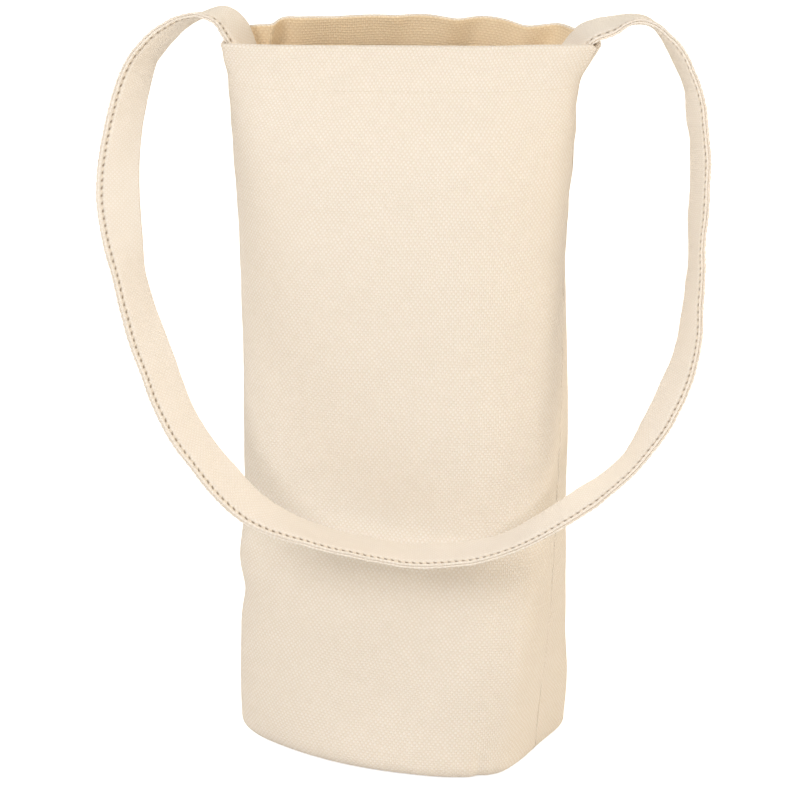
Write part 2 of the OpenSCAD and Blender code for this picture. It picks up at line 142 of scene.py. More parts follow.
def make_piece(name, points, faces, uv, material, painted_shade=None, inside=None, normals=None):
    """A mesh object from points in mm, with cloth coordinates in mm in its UV map."""
    mesh = bpy.data.meshes.new(name)
    mesh.from_pydata((np.asarray(points) * MM).tolist(), [], [list(f) for f in faces])
    loops = np.zeros(len(mesh.loops), np.int32)
    mesh.loops.foreach_get("vertex_index", loops)
    layer = mesh.uv_layers.new(name="cloth")
    layer.data.foreach_set("uv", np.asarray(uv, np.float32)[loops].ravel())
    for key, values in (("painted_shade", painted_shade), ("inside", inside)):
        attribute = mesh.attributes.new(key, "FLOAT", "POINT")
        data = np.zeros(len(points)) if values is None else values
        attribute.data.foreach_set("value", np.asarray(data, np.float32))
    mesh.polygons.foreach_set("use_smooth", np.ones(len(mesh.polygons), bool))
    mesh.materials.append(material)
    mesh.update()
    if normals is not None:
        mesh.normals_split_custom_set_from_vertices(np.asarray(normals).tolist())
    piece = bpy.data.objects.new(name, mesh)
    bpy.context.scene.collection.objects.link(piece)
    return piece


# ---- Materials ----
class Nodes:
    """Short names for the node calls that the materials repeat."""

    def __init__(self, name):
        self.material = bpy.data.materials.new(name)
        self.material.use_nodes = True
        self.tree = self.material.node_tree
        self.tree.nodes.clear()
        self.output = self.tree.nodes.new("ShaderNodeOutputMaterial")
        self.shader = self.tree.nodes.new("ShaderNodeBsdfPrincipled")
        self.link(self.shader.outputs[0], self.output.inputs[0])

    def link(self, a, b):
        self.tree.links.new(a, b)

    def put(self, value, socket):
        if isinstance(value, (int, float, tuple)):
            socket.default_value = value
        else:
            self.link(value, socket)

    def math(self, operation, a, b=None):
        node = self.tree.nodes.new("ShaderNodeMath")
        node.operation = operation
        self.put(a, node.inputs[0])
        if b is not None:
            self.put(b, node.inputs[1])
        return node.outputs[0]

    def add(self, a, b):
        return self.math("ADD", a, b)

    def sub(self, a, b):
        return self.math("SUBTRACT", a, b)

    def mul(self, a, b):
        return self.math("MULTIPLY", a, b)

    def mix(self, factor, a, b, blend="MIX"):
        node = self.tree.nodes.new("ShaderNodeMix")
        node.data_type = "RGBA"
        node.blend_type = blend
        self.put(factor, node.inputs["Factor"])
        self.put(a, node.inputs[6])
        self.put(b, node.inputs[7])
        return node.outputs[2]

    def noise(self, vector, scale, detail=2.0, rough=0.5):
        node = self.tree.nodes.new("ShaderNodeTexNoise")
        node.inputs["Scale"].default_value = scale
        node.inputs["Detail"].default_value = detail
        node.inputs["Roughness"].default_value = rough
        self.link(vector, node.inputs["Vector"])
        return node.outputs[0]

    def vector(self, x, y, z=0.0):
        node = self.tree.nodes.new("ShaderNodeCombineXYZ")
        for socket, value in zip(node.inputs, (x, y, z)):
            self.put(value, socket)
        return node.outputs[0]

    def remap(self, value, low, high, to_low, to_high):
        node = self.tree.nodes.new("ShaderNodeMapRange")
        node.interpolation_type = "SMOOTHSTEP"
        for socket, number in zip(node.inputs, (value, low, high, to_low, to_high)):
            self.put(number, socket)
        return node.outputs[0]

    def attribute(self, name):
        node = self.tree.nodes.new("ShaderNodeAttribute")
        node.attribute_name = name
        return node.outputs["Fac"]

    def cloth_uv(self):
        uv = self.tree.nodes.new("ShaderNodeUVMap")
        uv.uv_map = "cloth"
        split = self.tree.nodes.new("ShaderNodeSeparateXYZ")
        self.link(uv.outputs[0], split.inputs[0])
        return split.outputs[0], split.outputs[1]

    def relief(self, height, distance, strength=1.0, normal=None):
        node = self.tree.nodes.new("ShaderNodeBump")
        node.inputs["Distance"].default_value = distance
        node.inputs["Strength"].default_value = strength
        self.link(height, node.inputs["Height"])
        if normal is not None:
            self.link(normal, node.inputs["Normal"])
        return node.outputs[0]


def canvas(name, yarn, under, gap, inner, warp_pitch, weft_pitch, weave_depth):
    """Plain weave canvas, with its two sets of yarns in cloth coordinates. Pitches are mm, depth is m."""
    n = Nodes(name)
    u, v = n.cloth_uv()
    place = n.vector(u, v)
    # the yarns wander by up to this many mm, so that their rows aren't ruled
    wander = 3.0
    a = n.math("DIVIDE", n.add(u, n.mul(n.noise(place, 0.07, 3), wander)), warp_pitch)
    b = n.math("DIVIDE", n.add(v, n.mul(n.noise(n.vector(v, u, 7.0), 0.06, 3), wander)), weft_pitch)
    # the number of the yarn, and the place across it from -0.5 to 0.5
    ia, ib = n.math("FLOOR", a), n.math("FLOOR", b)
    fa, fb = n.sub(n.sub(a, ia), 0.5), n.sub(n.sub(b, ib), 0.5)

    def yarn_height(across, slub, along, index, swing):
        """A round yarn, as thick as its slubs make it, that rides over and under."""
        section = n.math("SQRT", n.sub(1.0, n.mul(n.mul(across, across), 3.7)))
        ride = n.math("COSINE", n.mul(n.add(n.sub(along, 0.5), index), math.pi))
        return n.add(n.mul(section, n.add(0.35, n.mul(slub, 0.5))), n.mul(ride, swing))

    slub_a = n.noise(n.vector(n.mul(ia, 3.7), n.mul(v, 0.16)), 1.0, 1)
    slub_b = n.noise(n.vector(n.mul(u, 0.16), n.mul(ib, 3.7), 5.0), 1.0, 1)
    warp = yarn_height(fa, slub_a, b, ia, 0.42)
    weft = yarn_height(fb, slub_b, a, ib, -0.42)
    height = n.math("MAXIMUM", warp, weft)
    # where the crosswise yarn is on top the cloth is painted paler, a painted highlight for the light it
    # catches, and where the lengthwise one is on top it takes the under colour as painted shade
    over = n.remap(n.sub(weft, warp), -0.12, 0.12, 0.0, 1.0)
    painted_shade, inside = n.attribute("painted_shade"), n.attribute("inside")
    blotch = n.noise(place, 0.035, 3, 0.6)
    fleck = n.noise(place, 1.9, 2, 0.7)
    colour = n.mix(over, under, yarn)
    colour = n.mix(n.remap(slub_b, 0.35, 0.75, 0.0, 0.45), colour, under)
    colour = n.mix(n.remap(slub_a, 0.40, 0.75, 0.0, 0.25), colour, yarn)
    # painted shade between the yarns: where they lie low the colour goes to the darker gap colour
    colour = n.mix(n.remap(height, 0.1, 0.72, 0.0, 1.0), gap, colour)
    colour = n.mix(n.remap(blotch, 0.3, 0.75, 0.0, 0.14), colour, under)
    colour = n.mix(n.remap(fleck, 0.62, 0.8, 0.0, 0.2), colour, gap)
    # painted bounced light and shade: the cloth inside the bag is tinted warmer and darker
    colour = n.mix(n.mul(inside, 0.85), colour, inner, "MULTIPLY")
    # painted shade: the needle holes go dark brown
    colour = n.mix(painted_shade, colour, (0.22, 0.15, 0.085, 1))
    n.link(colour, n.shader.inputs["Base Color"])
    n.shader.inputs["Roughness"].default_value = 0.92
    n.shader.inputs["Specular IOR Level"].default_value = 0.18
    n.shader.inputs["Sheen Weight"].default_value = 0.12
    n.shader.inputs["Sheen Roughness"].default_value = 0.6
    fuzz = n.noise(place, 5.5, 3, 0.7)
    soft = n.relief(fuzz, 0.00010, 0.35)
    n.link(n.relief(height, weave_depth, 1.0, soft), n.shader.inputs["Normal"])
    return n.material


def thread(name, light, dark):
    """Twisted cotton thread, with its plies as slanted ridges along each stitch, painted lighter on the
    ridges and darker in the grooves.
    """
    n = Nodes(name)
    u, v = n.cloth_uv()
    twist = n.math("SINE", n.mul(n.add(n.mul(u, 2.0), v), 7.0))
    spread = n.noise(n.vector(u, v), 2.5, 2)
    # painted light on the plies' ridges and painted shade in the grooves between them, from the same wave
    # as their relief
    colour = n.mix(n.remap(twist, -1.0, 0.6, 0.0, 1.0), dark, light)
    colour = n.mix(n.remap(spread, 0.4, 0.8, 0.0, 0.5), colour, dark)
    # painted shade, which no thread piece sets
    colour = n.mix(n.attribute("painted_shade"), colour, (0.3, 0.22, 0.14, 1))
    n.link(colour, n.shader.inputs["Base Color"])
    n.shader.inputs["Roughness"].default_value = 0.8
    n.shader.inputs["Sheen Weight"].default_value = 0.1
    n.link(n.relief(twist, 0.00006, 0.6), n.shader.inputs["Normal"])
    return n.material


# A painted tint of bounced light and shade for the cloth inside the bag, standing in for light that has
# bounced from cloth to cloth
INSIDE_PAINTED_BOUNCE = (0.99, 0.85, 0.62, 1)
CANVAS = canvas(
    "natural_canvas", yarn=(0.945, 0.882, 0.81, 1), under=(0.87, 0.78, 0.67, 1), gap=(0.785, 0.66, 0.53, 1),
    inner=INSIDE_PAINTED_BOUNCE, warp_pitch=1.0, weft_pitch=1.18, weave_depth=0.00026)
STRAP_CANVAS = canvas(
    "strap_canvas", yarn=(0.935, 0.875, 0.81, 1), under=(0.885, 0.81, 0.72, 1), gap=(0.80, 0.70, 0.58, 1),
    inner=INSIDE_PAINTED_BOUNCE, warp_pitch=1.0, weft_pitch=0.9, weave_depth=0.00013)
THREAD = thread("cotton_thread", light=(0.93, 0.86, 0.76, 1), dark=(0.78, 0.66, 0.52, 1))


# ---- The camera, at the photograph's angle ----
def make_camera():
    tilt, distance, mm_per_pixel, image_width = math.radians(21.5), 2400.0, 0.44, 800
    aim = np.array([1.1, 53.5, 135.7])
    view = np.array([0, math.cos(tilt), -math.sin(tilt)])
    data = bpy.data.cameras.new("camera")
    data.sensor_width = 36
    data.lens = distance / mm_per_pixel / image_width * data.sensor_width
    data.clip_start, data.clip_end = 0.1, 50
    camera = bpy.data.objects.new("camera", data)
    camera.location = (aim - view * distance) * MM
    camera.rotation_euler = (math.pi / 2 - tilt, 0, 0)
    bpy.context.scene.collection.objects.link(camera)
    bpy.context.scene.camera = camera


make_camera()


# ---- The bag's sections ----
# Points on a quarter of a section, half of them spaced evenly in y and half in x
QUARTER = 260
_rings = {}


def ring_at(z):
    """Both halves of the section at height z: (points, outward directions, distances) each."""
    key = round(float(z), 4)
    if key in _rings:
        return _rings[key]
    _, cx, cy, half_w, front, back, swell, yaw, px, py = curve_through(STATIONS, [z])[0]
    y1 = np.linspace(0, 0.5 ** (1 / py), QUARTER)
    x2 = np.linspace(0.5 ** (1 / px), 0, QUARTER)[1:]
    x = np.r_[(1 - y1 ** py) ** (1 / px), x2]
    y = np.r_[y1, (1 - x2 ** px) ** (1 / py)]
    xs = np.r_[-x, x[::-1][1:], x[1:], -x[::-1][1:-1]]
    ys = np.r_[-y, -y[::-1][1:], y[1:], y[::-1][1:-1]]
    half = 2 * len(x) - 1
    depth = np.where(ys < 0, front * ys - swell * (1 - xs ** 2), back * ys)
    depth[[0, half - 1]] = 0
    a = math.radians(yaw)
    p = np.column_stack([half_w * xs * math.cos(a) - depth * math.sin(a) + cx,
                         half_w * xs * math.sin(a) + depth * math.cos(a) + cy])
    tangent = unit(np.roll(p, -1, 0) - p) + unit(p - np.roll(p, 1, 0))
    out = unit(np.column_stack([tangent[:, 1], -tangent[:, 0]]))
    halves = []
    for pick in (np.arange(half), np.r_[np.arange(half - 1, len(p)), 0]):
        q, n = p[pick], out[pick]
        far = np.r_[0, np.cumsum(np.linalg.norm(np.diff(q, axis=0), axis=1))]
        halves.append((q, n, far))
    _rings[key] = halves
    return halves


# The back wall's upright folds at the mouth: share of the panel from the left seam, width, and size in mm
BACK_FOLDS = (
    (0.095, 0.022, -1.6), (0.135, 0.016, 1.8), (0.19, 0.020, -3.4), (0.23, 0.022, 2.4), (0.33, 0.04, -1.2),
    (0.50, 0.045, 2.0), (0.585, 0.03, -2.6), (0.66, 0.03, 2.2), (0.76, 0.035, -2.4), (0.83, 0.025, 2.0),
    (0.885, 0.02, -1.3),
)


def relief_of(side, u, z):
    """How far the cloth stands out of its plain section, in mm. u runs from 0 to 1 along the panel."""
    s = u if side == FRONT else 1 - u
    x = (s - 0.5) * PANEL_W
    high = smooth(z, 60, 140)
    # the cloth's unevenness, the hem's second layer, then the seams' groove and their pucker
    w = 0.5 * waves(x + (500 if side else 0), z, 3, 90) * smooth(np.minimum(s, 1 - s), 0, 0.12)
    w = w + 0.12 * waves(x + (300 if side else 0), z, 5, 22)
    w = w + 0.15 * smooth(z, HEM_STITCH_Z - 4, HEM_STITCH_Z + 3)
    seam = np.minimum(s, 1 - s) * PANEL_W
    groove = np.where(s < 0.5, 0.8, 0.15) * smooth(z, 4, 20)
    w = w - groove * np.exp(-(seam / 1.5) ** 2)
    w = w + 0.22 * np.exp(-(seam / 5.0) ** 2) * np.sin(z / 2.3 + 2 * np.sin(z / 17.0)) * high
    if side == FRONT:
        # the hollow where the strap crosses, and the slanting crease and ridge at its left end
        w = w - 5.0 * hill(z, 112, 26) * hill(s, 0.52, 0.26)
        w = w - 1.6 * hill(z + 60 * (s - 0.15), 66, 9) * hill(s, 0.13, 0.10)
        w = w + 1.0 * hill(z + 60 * (s - 0.15), 84, 10) * hill(s, 0.13, 0.12)
        # the corner of the base that points to the front is soft, and the fold has a small tuck beside it
        w = w - (2.6 - 1.6 * smooth(z, 20, 120)) * hill(s, 0.83, 0.07)
        w = w - 1.2 * hill(z, 6, 7) * hill(s, 0.79, 0.012)
    else:
        top = smooth(z, 262, BODY_H)
        for centre, width, size in BACK_FOLDS:
            lean = 0.0022 if centre < 0.25 else 0.0007 * math.copysign(1, size)
            w = w + size * top * hill(s + (BODY_H - z) * lean, centre, width)
        # the wall's slight belly
        w = w + 3.0 * hill(z, 150, 60) * hill(s, 0.5, 0.3)
        # behind the strap the rim is pushed out, and the hidden corner of the base stands out
        w = w + 3.5 * smooth(z, 290, BODY_H) * hill(s, 0.945, 0.035)
        w = w + 2.5 * hill(z, 18, 26) * hill(s, 0.84, 0.09)
    return w


# The back rim's own line: share of the panel from the left seam, and how far it hangs down in mm
BACK_RIM = np.array([
    [0.00, 0.8], [0.05, 1.2], [0.09, 0.6], [0.13, 0.2], [0.17, -0.2], [0.21, -1.0], [0.26, -1.6],
    [0.33, -1.8], [0.38, -2.0], [0.43, -2.1], [0.48, -1.6], [0.53, -2.2], [0.58, -2.2], [0.61, -1.0],
    [0.66, -1.3], [0.70, -1.2], [0.76, 0.8], [0.80, 0.5], [0.85, -0.4], [0.89, -0.6], [0.93, 0.6],
    [0.965, 2.6], [1.00, 1.4],
])


def rim_drop(side, u, z):
    """How far the rim hangs below its full height, in mm."""
    s = u if side == FRONT else 1 - u
    top = smooth(z, 276, BODY_H)
    if side == FRONT:
        return top * (0.8 * np.exp(-(s / 0.03) ** 2) + 1.4 * np.exp(-((1 - s) / 0.015) ** 2))
    return top * curve_through(BACK_RIM, np.atleast_1d(s))[:, 1]


def wall(side, z, u, d):
    """Points and outward directions on one panel: a row of heights z and depths d, and shares u."""
    z = np.atleast_1d(np.asarray(z, float))
    d = np.broadcast_to(np.asarray(d, float), z.shape)
    u = np.broadcast_to(np.asarray(u, float), (len(z), np.shape(u)[-1]))
    points, outs = np.zeros(u.shape + (3,)), np.zeros(u.shape + (3,))
    for i, (height, depth) in enumerate(zip(z, d)):
        q, n, far = ring_at(height)[side]
        squeeze = depth / PANEL_W * smooth(height, 302, 317)
        share = squeeze + (1 - 2 * squeeze) * u[i]
        at = share * far[-1]
        out = unit(np.column_stack([np.interp(at, far, n[:, k]) for k in (0, 1)]))
        base = np.column_stack([np.interp(at, far, q[:, k]) for k in (0, 1)])
        w = relief_of(side, share, height)
        points[i, :, :2] = base + out * (w - depth)[:, None]
        points[i, :, 2] = height - rim_drop(side, share, height)
        outs[i, :, :2] = out
    return points, outs


# ---- The two panels ----
EDGE = np.array([0, 0.5, 1.0, 1.6, 2.4, 3.4, 4.8, 6.4])
SHARES = np.r_[EDGE, np.linspace(8, PANEL_W - 8, 104), (PANEL_W - EDGE)[::-1]] / PANEL_W
# The seam's inner margin: distances of its columns from the seam, and the gap between its two layers
FLAP_STEP = 1.6
FLAP = FLAP_STEP * np.arange(5, 0, -1)
FLAP_GAP = 0.12
# Where the two panels' cloth coordinates start, in mm, so that their unevenness differs
FRONT_CLOTH_U, BACK_CLOTH_U = 0.0, 260.0


def turned(x, y, degrees):
    a = math.radians(degrees)
    return np.stack([x * math.cos(a) - y * math.sin(a), x * math.sin(a) + y * math.cos(a)], -1)


def seam_line_of_base(side):
    s = SHARES if side == FRONT else 1 - SHARES
    return turned((2 * s - 1) * (BASE_W / 2 - FOLD_R) * BASE_SEAM_PART, 0 * s, BASE_YAW) + BASE_MIDDLE


def flaps(side, z, offset):
    """The margin columns at both ends of wall rows, at a distance from the flap's middle plane."""
    columns = []
    for end in (0, 1):
        rows = []
        for height in z:
            q, n, _ = ring_at(height)[side]
            root, out = (q[0], n[0]) if end == 0 else (q[-1], n[-1])
            left = (end == 0) == (side == FRONT)
            groove = relief_of(side, np.array([float(end)]), height)[0]
            along = np.array([-out[1], out[0]])
            own = along if end == 0 else -along
            lean = np.array([0.0, -1.0]) * (1 if left else -1)
            sway = 0.9 * math.sin(height / 19.0 + (0 if left else 2)) + 0.5
            root = root + out * groove
            rows.append([np.r_[root - out * w + own * offset + lean * sway * (w / ALLOWANCE) ** 2, height]
                         for w in (FLAP if end == 0 else FLAP[::-1])])
        columns.append(np.array(rows))
    return columns


def panel_grid(side, back):
    """One face of a panel as a grid of points, the rows its wall takes up, and their heights."""
    t = CANVAS_T if back else 0.0
    hem_z = np.r_[BODY_H - HEM_H, np.linspace(HEM_STITCH_Z - 1, BODY_H - RIM_R, 12)]
    turn = np.radians(np.linspace(15, 165, 9))
    fine = np.r_[np.linspace(BODY_H - RIM_R, 296, 18), np.linspace(294, 20, 150),
                 np.linspace(18.5, FOLD_R, 8)]
    rows = [wall(side, hem_z, SHARES, HEM_DEPTH - t)[0]]
    r = HEM_GAP / 2 if back else RIM_R
    rim = [wall(side, BODY_H - RIM_R, SHARES, RIM_R + r * math.cos(a))[0][0] + [0, 0, r * math.sin(a)]
           for a in turn]
    rows.append(np.array(rim))
    corner = (t + FLAP_GAP + 0.1 if back else 0.0) / PANEL_W
    start = corner * (1 - smooth(fine, MARGIN_TOP, MARGIN_TOP + 6))[:, None]
    rows.append(wall(side, fine, start + (1 - 2 * start) * SHARES, t)[0])
    radius = FOLD_R - t
    fold = []
    for a in np.radians(np.linspace(0, 90, 8)[1:]):
        row = wall(side, FOLD_R, corner + (1 - 2 * corner) * SHARES, t + radius * (1 - math.cos(a)))[0][0]
        row[:, 2] = FOLD_R - radius * math.sin(a)
        fold.append(row)
    rows.append(np.array(fold))
    seam = seam_line_of_base(side)
    own = turned(0, -1 if side == FRONT else 1, BASE_YAW)
    target = seam + own * (t + FLAP_GAP / 2)
    base = [np.column_stack([fold[-1][:, :2] * (1 - f) + target * f, np.full(len(SHARES), t)])
            for f in np.linspace(0, 1, 15)[1:]]
    rows.append(np.array(base))
    rows.append(np.array([np.column_stack([target, np.full(len(SHARES), h)])
                          for h in (3.0, 5.5, ALLOWANCE)]))
    grid = np.concatenate(rows)
    first = len(hem_z) + len(turn)
    last = first + len(fine)
    left = np.zeros((len(grid), len(FLAP), 3))
    right = left.copy()
    left[first:last], right[first:last] = flaps(side, fine, t + FLAP_GAP / 2)
    return np.concatenate([left, grid, right], axis=1), first, last, fine


def panel(side, name, node, u_start):
    """One panel as a closed piece: its face, its back, and strips round every edge between them."""
    face, first, last, fine = panel_grid(side, False)
    back = panel_grid(side, True)[0]
    rows, cols = face.shape[:2]
    f = len(FLAP)
    mask = np.zeros((rows - 1, cols - 1), bool)
    mask[:, f:cols - 1 - f] = True
    with_flap = np.zeros(rows - 1, bool)
    with_flap[first:last - 1] = fine[:-1] <= MARGIN_TOP
    mask[with_flap, :] = True
    index = np.arange(rows * cols).reshape(rows, cols)
    a, b, c, d = index[:-1, :-1], index[:-1, 1:], index[1:, 1:], index[1:, :-1]
    n = rows * cols
    quads = [np.stack([a, b, c, d], -1)[mask], np.stack([d, c, b, a], -1)[mask] + n]
    padded = np.pad(mask, 1)
    here = padded[1:-1, 1:-1]
    for neighbour, p, q in ((padded[1:-1, :-2], d, a), (padded[1:-1, 2:], b, c),
                            (padded[:-2, 1:-1], a, b), (padded[2:, 1:-1], c, d)):
        edge = here & ~neighbour
        quads.append(np.stack([p[edge], p[edge] + n, q[edge] + n, q[edge]], -1)[:, ::-1])
    quads = np.concatenate(quads)
    across = np.r_[-FLAP, SHARES * PANEL_W, PANEL_W + FLAP[::-1]]
    middle = face[:, cols // 2]
    along = np.r_[0, np.cumsum(np.linalg.norm(np.diff(middle, axis=0), axis=1))]
    uv = np.stack(np.meshgrid(across + u_start, along), -1).reshape(-1, 2)
    points = np.concatenate([face.reshape(-1, 3), back.reshape(-1, 3)])
    # the back is inside the bag, and so is the hem's face up to near the top of the rim; these take the
    # painted tint of bounced light and shade
    inside = np.r_[np.zeros(n), np.ones(n)]
    inside[:n].reshape(rows, cols)[:first - 7] = 1
    used = np.unique(quads)
    number = np.full(len(points), -1)
    number[used] = np.arange(len(used))
    piece = make_piece(name, points[used], number[quads], np.concatenate([uv, uv])[used], CANVAS,
                       inside=inside[used])
    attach(piece, "bag")
    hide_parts(node)


panel(FRONT, "front_cloth", "front_panel", FRONT_CLOTH_U)
panel(BACK, "back_cloth", "back_panel", BACK_CLOTH_U)


# ---- The strap ----
RING_STEP = 0.75


def strap_line():
    """The strap's frames: middle points, ways along, across and out, and distances, all the way."""
    far = np.r_[0, np.cumsum(np.linalg.norm(np.diff(ROUTE[:, :3], axis=0), axis=1))]
    s = np.linspace(0, far[-1], int(far[-1] / RING_STEP))
    dense = curve_through(np.column_stack([far, ROUTE]), s)[:, 1:]
    # evened out over a few rings on both sides
    reach = 9
    kernel = np.exp(-(np.arange(-reach, reach + 1) / 4.5) ** 2)
    kernel /= kernel.sum()
    padded = np.pad(dense, ((reach, reach), (0, 0)), mode="reflect", reflect_type="odd")
    dense = np.column_stack([np.convolve(padded[:, k], kernel, "valid") for k in range(4)])
    points, roll = dense[:, :3], np.radians(dense[:, 3])[:, None]
    run = unit(np.gradient(points, axis=0))
    ahead = unit(np.array([0, -1.0, 0]) + run * run[:, 1:2])
    wide = np.cross(ahead, run) * np.cos(roll) + ahead * np.sin(roll)
    far = np.r_[0, np.cumsum(np.linalg.norm(np.diff(points, axis=0), axis=1))]
    return points, run, wide, np.cross(run, wide), far


LINE = strap_line()
# One layer's share of the strap and half its own thickness, then the middle of the outer layers
PLY, HALF_CLOTH = STRAP_T / 4, 0.345
OUTER = 1.5 * PLY
# Where the layers turn at the open, sewn edge, and where they turn at the closed edge
LIP = STRAP_W / 2 - 0.74
CLOSED = -STRAP_W / 2 + OUTER + 0.36


def fold_outline():
    """The strip folded to four layers, as one closed outline: across, out, and cloth coordinate."""
    def arc(x, y, r, start, end, n):
        a = np.radians(np.linspace(start, end, n))
        return np.column_stack([x + r * np.cos(a), y + r * np.sin(a)])

    def line(x0, x1, y, n):
        return np.column_stack([np.linspace(x0, x1, n), np.full(n, y)])

    face = np.r_[np.linspace(LIP - 0.3, 6.6, 9), np.linspace(5.6, CLOSED + 0.4, 13)]
    top = np.column_stack([face, np.full(len(face), OUTER)])
    inner = line(CLOSED + 1.2, LIP - 0.3, 0.5 * PLY, 7)
    upper = np.concatenate([inner, arc(LIP, PLY, PLY / 2, -90, 90, 7), top])
    lower = upper[::-1] * [1, -1]
    mid = np.concatenate([upper, arc(CLOSED, 0, OUTER, 90, 270, 9), lower])
    tangent = np.gradient(mid, axis=0)
    out = unit(np.column_stack([tangent[:, 1], -tangent[:, 0]]))
    far = np.r_[0, np.cumsum(np.linalg.norm(np.diff(mid, axis=0), axis=1))]
    outline = np.concatenate([mid + out * HALF_CLOTH, (mid - out * HALF_CLOTH)[::-1]])
    return outline, np.r_[far, far[::-1]]


OUTLINE, OUTLINE_U = fold_outline()


def strap_shape(across, out, s):
    """The folded strap's outline as the stitches and the cloth shape it, at distances s."""
    s = s[:, None]
    at_hole = 0.5 + 0.5 * np.cos(math.tau * s / PITCH)
    bead = 0.5 - 0.5 * np.cos(math.tau * s / PITCH)
    line = EDGE_STITCH_LINE
    # pinched along the stitches, full in the middle, and beaded and thinner outside them
    pinch = 0.30 + 0.26 * at_hole
    thick = 1 - pinch * hill(across, line, 0.85) + 0.07 * hill(across, 2.0, 6.0)
    thick = thick + 0.16 * bead * smooth(across, line + 0.5, line + 1.2)
    thick = thick * (1 - 0.30 * smooth(across, line - 1.5, line + 1.2))
    thick = thick * (1 + 0.05 * waves(s, across, 11, 9))
    edge = 0.20 * bead * smooth(across, line + 0.4, STRAP_W / 2)
    edge = edge + 0.16 * waves(s, 0 * s, 12, 14) * across / 10
    rise = 0.28 * waves(s, across, 13, 26) + 0.10 * waves(s, across, 14, 8)
    return across + edge, out * thick + rise


def strap_rings():
    """All rings of the strap, and one smooth set of directions, so that its three lengths join unseen."""
    points, _, wide, out, far = LINE
    a, o = strap_shape(OUTLINE[None, :, 0], OUTLINE[None, :, 1], far)
    grid = points[:, None] + wide[:, None] * a[..., None] + out[:, None] * o[..., None]
    round_it = np.roll(grid, -1, 1) - np.roll(grid, 1, 1)
    outwards = unit(np.cross(round_it, np.gradient(grid, axis=0)))
    return grid, outwards


GRID, OUTWARDS = strap_rings()


def ribbon(first, last, name, node, blend=None):
    """One length of the strap as a closed piece, which swings, or joins the bag to the swinging loop."""
    grid, far = GRID[first:last + 1], LINE[4][first:last + 1]
    rings, m = grid.shape[:2]
    index = np.arange(rings * m).reshape(rings, m)
    p, q = index, np.roll(index, -1, 1)
    quads = np.stack([p[:-1], q[:-1], q[1:], p[1:]], -1).reshape(-1, 4)
    # the outline's face side and back side run in step, so each end closes with a strip
    k = np.arange(m // 2 - 1)
    for ring, flip in ((0, False), (rings - 1, True)):
        strip = ring * m + np.stack([k, m - 1 - k, m - 2 - k, k + 1], -1)
        quads = np.concatenate([quads, strip[:, ::-1] if flip else strip])
    uv = np.stack([np.broadcast_to(OUTLINE_U, (rings, m)), np.broadcast_to(far[:, None], (rings, m))], -1)
    # painted shade in the needle holes: dark, slightly slanting marks between the stitches, on the outer
    # layers alone
    from_hole = ((far / PITCH + 0.5) % 1 - 0.5) * PITCH
    line = EDGE_STITCH_LINE + 0.23 * from_hole
    hole = hill(from_hole[:, None], 0, 0.66) * hill(OUTLINE[None, :, 0], line[:, None], 0.42)
    outer = np.abs(OUTLINE[None, :, 1]) > 1.3 * PLY
    painted_shade = np.clip(1.5 * hole * outer, 0, 0.95)
    piece = make_piece(name, grid.reshape(-1, 3), quads, uv.reshape(-1, 2), STRAP_CANVAS,
                       painted_shade=painted_shade.ravel(), normals=OUTWARDS[first:last + 1].reshape(-1, 3))
    if blend:
        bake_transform(piece)
    else:
        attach(piece, "strap")
    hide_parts(node)


# The joins between the loop and the two sewn ends lie just outside the tops of the arches
LEFT_JOIN = int(np.argmax(LINE[0][:, 0] < -101.5))
RIGHT_JOIN = len(LINE[0]) - 1 - int(np.argmax(LINE[0][::-1, 0] > 118.5))
# Two places across the bag for each sewn end, in metres, from the bag's side to the loop's; nothing here
# bends the end, and a piece given them is not attached to a body
LEFT_BLEND = ((-0.066, 0, 0), (-0.092, 0, 0))
RIGHT_BLEND = ((0.083, 0, 0), (0.108, 0, 0))
END = len(LINE[0]) - 1
ribbon(0, LEFT_JOIN, "strap_left_root", "strap_left_end", LEFT_BLEND)
ribbon(LEFT_JOIN, RIGHT_JOIN, "strap_loop", "strap")
ribbon(RIGHT_JOIN, END, "strap_right_root", "strap_right_end", RIGHT_BLEND)


# ---- Threads ----
def stitch_mesh(starts, ends, ups, radius=0.27, lift=0.22, sink=0.32):
    """Separate stitches from starts to ends. Each rises out of the cloth and goes back in."""
    sides, parts = 6, 6
    starts, ends, ups = (np.asarray(v, float) for v in (starts, ends, ups))
    along = unit(ends - starts)
    ups = unit(ups - along * (ups * along).sum(1, keepdims=True))
    side = np.cross(along, ups)
    f = np.linspace(0, 1, parts + 1)
    arch = lift - (lift + sink) * (2 * f - 1) ** 6
    width = radius * (1 - 0.45 * (2 * f - 1) ** 4)
    angle = np.arange(sides) / sides * math.tau
    middle = (starts[:, None] + (ends - starts)[:, None] * f[None, :, None]
              + ups[:, None] * arch[None, :, None])
    ring = (np.cos(angle)[:, None, None] * ups + np.sin(angle)[:, None, None] * side)
    points = middle[:, :, None] + ring.transpose(1, 0, 2)[:, None] * width[None, :, None, None]
    count = len(starts)
    per = (parts + 1) * sides
    i, j = np.meshgrid(np.arange(parts), np.arange(sides), indexing="ij")
    a, b = i * sides + j, i * sides + (j + 1) % sides
    quads = np.stack([a, a + sides, b + sides, b], -1).reshape(-1, 4)
    faces = [list(q) for k in range(count) for q in quads + k * per]
    for k in range(count):
        faces.append([k * per + q for q in range(sides)])
        faces.append([k * per + per - 1 - q for q in range(sides)])
    length = np.linalg.norm(ends - starts, axis=1)
    u = np.arange(count)[:, None] * 3.1 + f[None, :] * length[:, None]
    uv = np.stack([np.broadcast_to(u[..., None], (count, parts + 1, sides)),
                   np.broadcast_to(angle / math.tau, (count, parts + 1, sides))], -1)
    return points.reshape(-1, 3), faces, uv.reshape(-1, 2)


